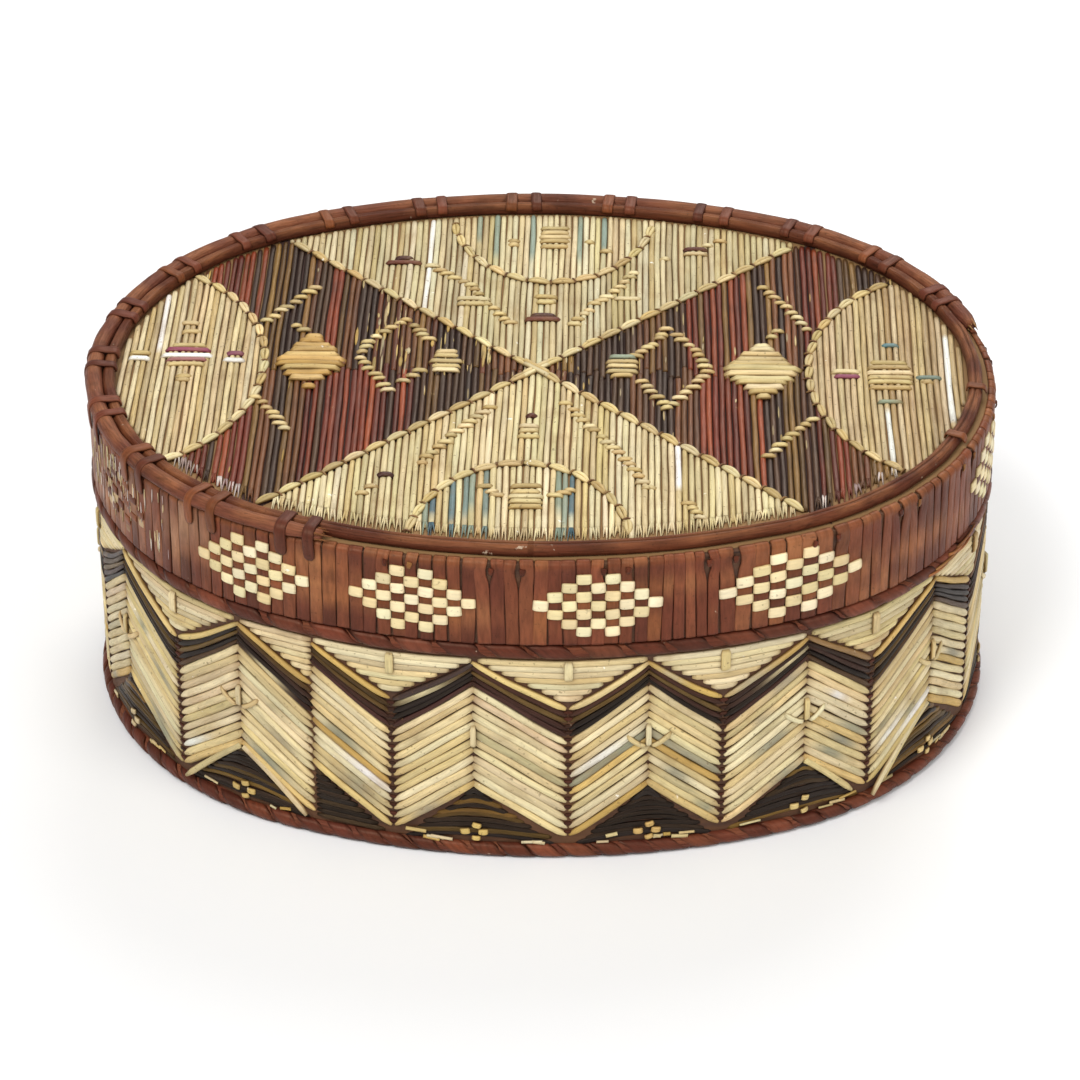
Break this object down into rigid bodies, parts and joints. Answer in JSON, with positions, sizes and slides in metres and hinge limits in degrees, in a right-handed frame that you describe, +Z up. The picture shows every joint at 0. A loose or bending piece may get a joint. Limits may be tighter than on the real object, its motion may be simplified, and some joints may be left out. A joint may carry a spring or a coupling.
{
  "type": "quillwork box",
  "caption": "Oval birchbark box with a lift-off lid, quill-covered top and wall, a root-wrapped lid band with woven checks, and lashed root rings at rim, shoulder and foot.",
  "frame": {"origin": "centre of the box's outline, on the plane it stands on", "axes": "+X along the oval's length to the right, +Y to the back, +Z up through the lid"},
  "size_m": [0.2018, 0.1578, 0.0784],
  "materials": {
    "birchbark": "matt bark",
    "dark_root": "satin",
    "split_root": "satin",
    "dark_quill": "satin",
    "plum_quill": "satin",
    "blue_quill": "satin",
    "faded_quill": "satin",
    "stitch_quill": "satin",
    "cream_quill": "satin"
  },
  "bodies": {
    "base": {"base_floor": "birchbark", "foot_ring": "dark_root", "foot_ring_lashings": "split_root", "base_wall_bark": "birchbark", "base_collar": "birchbark", "shoulder_ring": "dark_root", "shoulder_ring_lashings": "split_root", "wall_border_quills": "stitch_quill", "wall_dark_chevron_quills": "dark_quill", "wall_upper_cream_quills": "cream_quill", "wall_faded_quills": "faded_quill", "wall_lower_cream_quills": "cream_quill", "wall_triangle_quills": "cream_quill", "wall_triangle_ties": "stitch_quill", "wall_foot_quills": "dark_quill", "wall_foot_ties": "stitch_quill", "wall_peak_ties": "stitch_quill", "wall_seam_stitches": "split_root"},
    "lid": {"lid_panel_bark": "birchbark", "lid_hoop_bark": "birchbark", "lid_lining": "birchbark", "lid_root_strips": "split_root", "lid_check_quills": "cream_quill", "lid_inner_rim_root": "split_root", "lid_rim_cap_root": "dark_root", "lid_rim_lashings": "split_root", "lid_lashing_stubs": "split_root", "lid_back_cream_quills": "cream_quill", "lid_front_cream_quills": "cream_quill", "lid_dark_quills": "dark_quill", "lid_plum_quills": "plum_quill", "lid_side_medallion_quills": "cream_quill", "lid_end_medallion_quills": "cream_quill", "lid_blue_quills": "blue_quill", "lid_cross_couching": "stitch_quill", "lid_medallion_couching": "stitch_quill", "lid_satin_diamonds": "stitch_quill", "lid_stitch_lines": "stitch_quill", "lid_bar_motifs": "stitch_quill"}
  },
  "joints": [
    {"name": "lid_lift", "type": "slide", "parent": "base", "child": "lid", "axis": [0, 0, 1], "range_m": [0, 0.06]}
  ]
}
